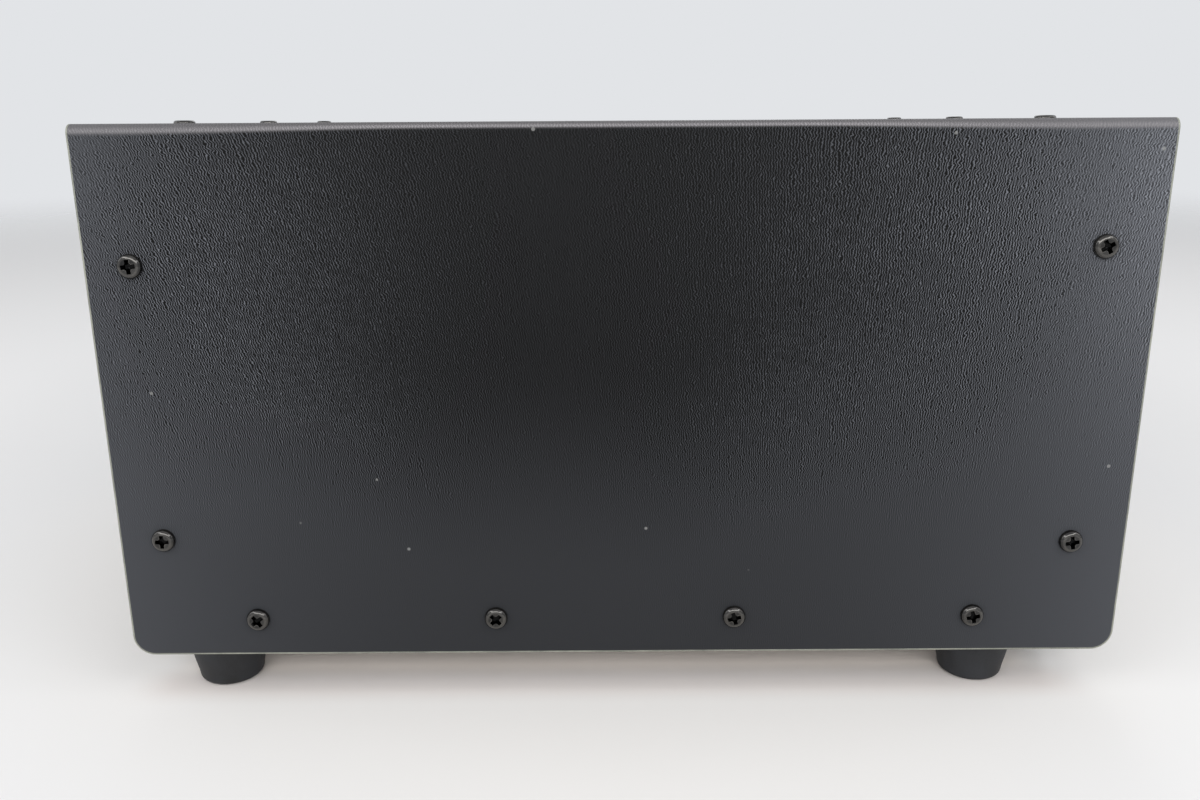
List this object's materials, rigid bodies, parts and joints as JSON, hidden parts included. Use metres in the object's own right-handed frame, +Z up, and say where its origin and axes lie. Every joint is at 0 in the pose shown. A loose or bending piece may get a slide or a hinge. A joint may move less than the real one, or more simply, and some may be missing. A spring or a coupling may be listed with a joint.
{
  "type": "hf linear amplifier",
  "caption": "Bench HF linear amplifier in a grained steel cover, with tuning dials, panel meters, a band switch and rockers in front, and a fan, coaxial sockets and mains inlet behind.",
  "frame": {"origin": "on the surface that the feet stand on, under the middle of the footprint from the knobs to the rear sockets", "axes": "+Z up, -Y towards the operator in front of the panel, +X the operator's right, which is the pictured side"},
  "size_m": [0.3514, 0.418, 0.218],
  "materials": {
    "cover_vinyl": "matt leather-grained vinyl film on bent steel sheet",
    "zinc_steel": "zinc plated sheet",
    "panel_paint": "satin dark grey paint",
    "rear_aluminium": "brushed, clear coated",
    "foot_rubber": "matt",
    "screw_black": "black oxide, semi-gloss",
    "meter_plastic": "satin moulded",
    "meter_lens": "clear",
    "needle_metal": "black paint",
    "knob_plastic": "satin moulded",
    "dial_metal": "spun satin",
    "capacitor_metal": "bright",
    "shaft_metal": "bright",
    "switch_ceramic": "glazed ceramic",
    "switch_plastic": "satin moulded",
    "rocker_plastic": "satin moulded",
    "lamp_red": "clear red moulded",
    "fan_plastic": "matt moulded",
    "guard_wire": "bright plated wire",
    "socket_metal": "nickel plated",
    "phono_metal": "nickel plated",
    "ground_brass": "bright",
    "fuse_plastic": "satin moulded",
    "inlet_plastic": "satin moulded",
    "core_iron": "varnished laminations",
    "winding_copper": "varnished tape over copper wire",
    "valve_glass": "clear",
    "choke_ceramic": "ceramic former with enamelled wire",
    "coil_copper": "bare copper tube",
    "bridge_ceramic": "ceramic",
    "board_laminate": "circuit board with capacitors",
    "relay_plastic": "moulded"
  },
  "bodies": {
    "case": {"cover": "cover_vinyl", "chassis": "zinc_steel", "front_panel": "panel_paint", "rear_panel": "rear_aluminium", "front_left_foot": "foot_rubber", "front_right_foot": "foot_rubber", "rear_left_foot": "foot_rubber", "rear_right_foot": "foot_rubber", "grid_meter_case": "meter_plastic", "grid_meter_window": "meter_lens", "plate_meter_case": "meter_plastic", "plate_meter_window": "meter_lens", "plate_capacitor_frame": "capacitor_metal", "plate_stator": "capacitor_metal", "load_capacitor_frame": "capacitor_metal", "load_stator": "capacitor_metal", "band_switch": "switch_ceramic", "power_switch": "switch_plastic", "standby_switch": "switch_plastic", "transmit_lamp": "lamp_red", "fan_frame": "fan_plastic", "fan_guard": "guard_wire", "rf_input_socket": "socket_metal", "rf_output_socket": "socket_metal", "phono_jacks": "phono_metal", "ground_terminal": "ground_brass", "fuse_holder": "fuse_plastic", "mains_inlet": "inlet_plastic", "transformer_core": "core_iron", "transformer_winding": "winding_copper", "valve_deck": "zinc_steel", "valve_1": "valve_glass", "valve_2": "valve_glass", "plate_choke": "choke_ceramic", "tank_coil": "coil_copper", "coil_bridge": "bridge_ceramic", "filter_board": "board_laminate", "antenna_relay": "relay_plastic", "cover_screw_1": "screw_black", "cover_screw_2": "screw_black", "cover_screw_3": "screw_black", "cover_screw_4": "screw_black", "cover_screw_5": "screw_black", "cover_screw_6": "screw_black", "cover_screw_7": "screw_black", "cover_screw_8": "screw_black"},
    "plate_tuning": {"plate_rotor": "capacitor_metal", "plate_dial": "dial_metal"},
    "plate_knob": {"plate_knob": "knob_plastic"},
    "load_tuning": {"load_rotor": "capacitor_metal", "load_dial": "dial_metal"},
    "load_knob": {"load_knob": "knob_plastic"},
    "band_selector": {"band_knob": "knob_plastic", "band_shaft": "shaft_metal"},
    "power_rocker": {"power_rocker": "rocker_plastic"},
    "standby_rocker": {"standby_rocker": "rocker_plastic"},
    "grid_needle": {"grid_meter_needle": "needle_metal"},
    "plate_needle": {"plate_meter_needle": "needle_metal"},
    "fan_impeller": {"fan_impeller": "fan_plastic"},
    "fuse_cap": {"fuse_cap": "fuse_plastic"}
  },
  "joints": [
    {"name": "plate_tuning_turn", "type": "hinge", "parent": "case", "child": "plate_tuning", "pos_m": [0.038, -0.185, 0.1495], "axis": [0, 1, 0], "range_deg": [0, 180]},
    {"name": "plate_knob_turn", "type": "hinge", "parent": "case", "child": "plate_knob", "pos_m": [0.038, -0.2, 0.1495], "axis": [0, 1, 0], "range_deg": [0, 1080]},
    {"name": "load_tuning_turn", "type": "hinge", "parent": "case", "child": "load_tuning", "pos_m": [0.104, -0.185, 0.1495], "axis": [0, 1, 0], "range_deg": [0, 180]},
    {"name": "load_knob_turn", "type": "hinge", "parent": "case", "child": "load_knob", "pos_m": [0.104, -0.2, 0.1495], "axis": [0, 1, 0], "range_deg": [0, 1080]},
    {"name": "band_select", "type": "hinge", "parent": "case", "child": "band_selector", "pos_m": [0.071, -0.195, 0.0735], "axis": [0, 1, 0], "range_deg": [0, 150]},
    {"name": "power_press", "type": "hinge", "parent": "case", "child": "power_rocker", "pos_m": [-0.128, -0.182, 0.0735], "axis": [-1, 0, 0], "range_deg": [0, 16]},
    {"name": "standby_press", "type": "hinge", "parent": "case", "child": "standby_rocker", "pos_m": [-0.092, -0.182, 0.0735], "axis": [-1, 0, 0], "range_deg": [0, 16]},
    {"name": "grid_needle_swing", "type": "hinge", "parent": "case", "child": "grid_needle", "pos_m": [-0.118, -0.1816, 0.1395], "axis": [0, 1, 0], "range_deg": [0, 90], "stiffness_Nm_per_rad": 0.0003, "springref_deg": -28.65},
    {"name": "plate_needle_swing", "type": "hinge", "parent": "case", "child": "plate_needle", "pos_m": [-0.039, -0.1816, 0.1395], "axis": [0, 1, 0], "range_deg": [0, 90], "stiffness_Nm_per_rad": 0.0003, "springref_deg": -28.65},
    {"name": "fan_spin", "type": "hinge", "parent": "case", "child": "fan_impeller", "pos_m": [0.087, 0.175, 0.1295], "axis": [0, 1, 0], "continuous": true},
    {"name": "fuse_cap_pull", "type": "slide", "parent": "case", "child": "fuse_cap", "axis": [0, 1, 0], "range_m": [0, 0.03]}
  ],
  "couplings": [
    {"joint": "plate_knob_turn", "follows": "plate_tuning_turn", "ratio": 6},
    {"joint": "load_knob_turn", "follows": "load_tuning_turn", "ratio": 6}
  ]
}
